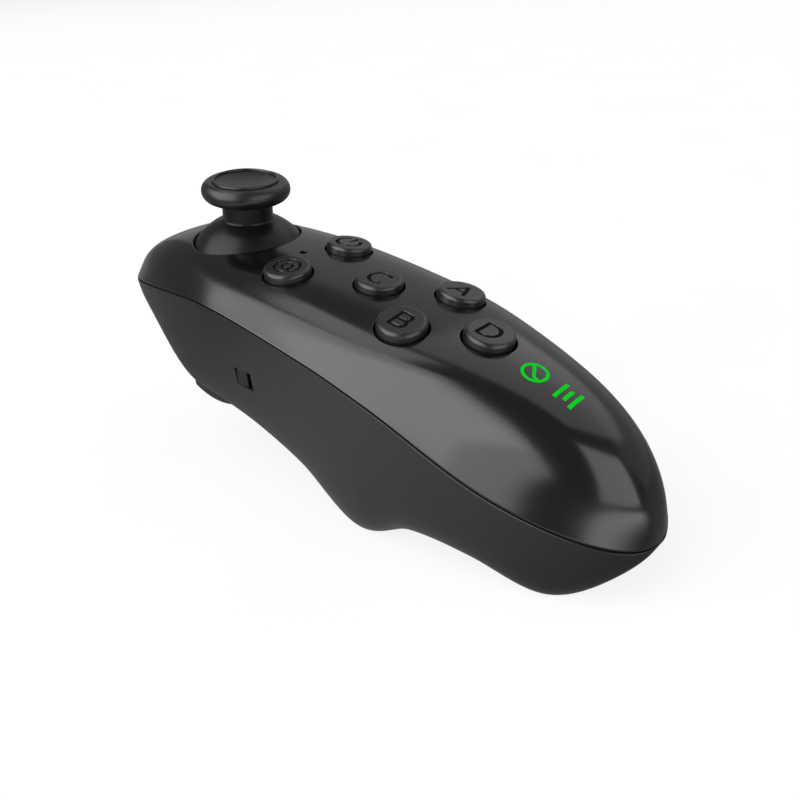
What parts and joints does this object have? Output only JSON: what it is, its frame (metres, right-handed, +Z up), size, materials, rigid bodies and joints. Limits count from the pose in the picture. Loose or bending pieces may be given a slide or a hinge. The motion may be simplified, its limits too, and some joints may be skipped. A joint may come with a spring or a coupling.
{
  "type": "vr motion controller",
  "caption": "Curved one-hand VR remote: two-part shell on a hump and tail, tilting thumbstick, round keys, two front triggers, side slide switch and battery door.",
  "frame": {"origin": "centre of the bounding box in plan, on the surface the controller stands on", "axes": "+X towards the nose and thumbstick, +Y to the holder's left where the slide switch is, +Z up"},
  "size_m": [0.136, 0.046, 0.0616],
  "materials": {
    "shell_gloss": "semi-gloss moulded",
    "shell_satin": "satin moulded",
    "button_plastic": "satin moulded",
    "stick_rubber": "smooth rubber",
    "stick_plastic": "semi-gloss moulded",
    "nylon": "natural nylon",
    "steel": "stamped and drawn",
    "nickel": "nickel plated",
    "board": "solder mask",
    "component": "moulded epoxy",
    "potentiometer": "moulded",
    "ceramic": "fired ceramic",
    "silicone": "moulded silicone",
    "lens": "dark clear moulding",
    "cell_jacket": "printed jacket",
    "wire": "insulated"
  },
  "bodies": {
    "housing": {"top_shell": "shell_gloss", "bottom_shell": "shell_satin", "housing_screws": "steel", "stick_housing": "steel", "pitch_potentiometer": "potentiometer", "roll_potentiometer": "potentiometer", "centring_disc": "nylon", "centring_spring": "steel", "stick_pcb": "board", "stick_screws": "steel", "keypad_membrane": "silicone", "main_pcb": "board", "board_screws": "steel", "radio_chip": "component", "crystal": "nickel", "antenna": "ceramic", "status_led": "ceramic", "light_pipe": "lens", "lower_trigger_pin": "steel", "upper_trigger_pin": "steel", "lower_trigger_spring": "steel", "upper_trigger_spring": "steel", "lower_trigger_switch": "component", "upper_trigger_switch": "component", "lower_trigger_pcb": "board", "upper_trigger_pcb": "board", "switch_body": "steel", "switch_pcb": "board", "left_cell": "cell_jacket", "right_cell": "cell_jacket", "tail_contact": "nickel", "left_contact": "nickel", "right_contact": "nickel", "battery_springs": "nickel", "battery_leads": "wire"},
    "gimbal": {"gimbal_yoke": "nylon"},
    "stick": {"thumbstick_cap": "stick_rubber", "thumbstick_dome": "stick_plastic", "stick_shaft": "steel"},
    "follower": {"follower_yoke": "nylon"},
    "power_key": {"power_button": "button_plastic"},
    "at_key": {"at_button": "button_plastic"},
    "a_key": {"a_button": "button_plastic"},
    "b_key": {"b_button": "button_plastic"},
    "c_key": {"c_button": "button_plastic"},
    "d_key": {"d_button": "button_plastic"},
    "lower_lever": {"lower_trigger": "button_plastic"},
    "upper_lever": {"upper_trigger": "button_plastic"},
    "slider": {"switch_knob": "button_plastic"},
    "door": {"battery_door": "shell_satin"}
  },
  "joints": [
    {"name": "stick_pitch", "type": "hinge", "parent": "housing", "child": "gimbal", "pos_m": [0.033, 0, 0.0388], "axis": [0, 1, 0], "range_deg": [-16, 16], "stiffness_Nm_per_rad": 0.05},
    {"name": "stick_roll", "type": "hinge", "parent": "gimbal", "child": "stick", "pos_m": [0.033, 0, 0.0388], "axis": [0.9945, 0, 0.1045], "range_deg": [-16, 16], "stiffness_Nm_per_rad": 0.05},
    {"name": "follower_roll", "type": "hinge", "parent": "housing", "child": "follower", "pos_m": [0.033, 0, 0.0388], "axis": [0.9945, 0, 0.1045], "range_deg": [-16, 16]},
    {"name": "power_press", "type": "slide", "parent": "housing", "child": "power_key", "axis": [-0.1277, -0.0923, 0.9875], "range_m": [-0.0009, 0], "stiffness_N_per_m": 900, "springref_m": 0.0003, "deforming": ["keypad_membrane"]},
    {"name": "at_press", "type": "slide", "parent": "housing", "child": "at_key", "axis": [-0.1277, 0.0923, 0.9875], "range_m": [-0.0009, 0], "stiffness_N_per_m": 900, "springref_m": 0.0003, "deforming": ["keypad_membrane"]},
    {"name": "a_press", "type": "slide", "parent": "housing", "child": "a_key", "axis": [-0.1862, -0.1183, 0.9754], "range_m": [-0.0009, 0], "stiffness_N_per_m": 900, "springref_m": 0.0003, "deforming": ["keypad_membrane"]},
    {"name": "b_press", "type": "slide", "parent": "housing", "child": "b_key", "axis": [-0.1862, 0.1183, 0.9754], "range_m": [-0.0009, 0], "stiffness_N_per_m": 900, "springref_m": 0.0003, "deforming": ["keypad_membrane"]},
    {"name": "c_press", "type": "slide", "parent": "housing", "child": "c_key", "axis": [-0.1537, 0, 0.9881], "range_m": [-0.0009, 0], "stiffness_N_per_m": 900, "springref_m": 0.0003, "deforming": ["keypad_membrane"]},
    {"name": "d_press", "type": "slide", "parent": "housing", "child": "d_key", "axis": [-0.2295, 0, 0.9733], "range_m": [-0.0009, 0], "stiffness_N_per_m": 900, "springref_m": 0.0003, "deforming": ["keypad_membrane"]},
    {"name": "lower_trigger_pull", "type": "hinge", "parent": "housing", "child": "lower_lever", "pos_m": [0.0382, 0, 0.0215], "axis": [0, 1, 0], "range_deg": [0, 8], "stiffness_Nm_per_rad": 0.12, "springref_deg": -2.86, "deforming": ["lower_trigger_spring"]},
    {"name": "upper_trigger_pull", "type": "hinge", "parent": "housing", "child": "upper_lever", "pos_m": [0.05272, 0, 0.03104], "axis": [0, 1, 0], "range_deg": [0, 8], "stiffness_Nm_per_rad": 0.12, "springref_deg": -2.86, "deforming": ["upper_trigger_spring"]},
    {"name": "mode_slide", "type": "slide", "parent": "housing", "child": "slider", "axis": [1, 0, 0], "range_m": [-0.002, 0]},
    {"name": "door_release", "type": "slide", "parent": "housing", "child": "door", "axis": [0, 0, -1], "range_m": [0, 0.02]}
  ],
  "couplings": [
    {"joint": "follower_roll", "follows": "stick_roll", "ratio": 1}
  ]
}
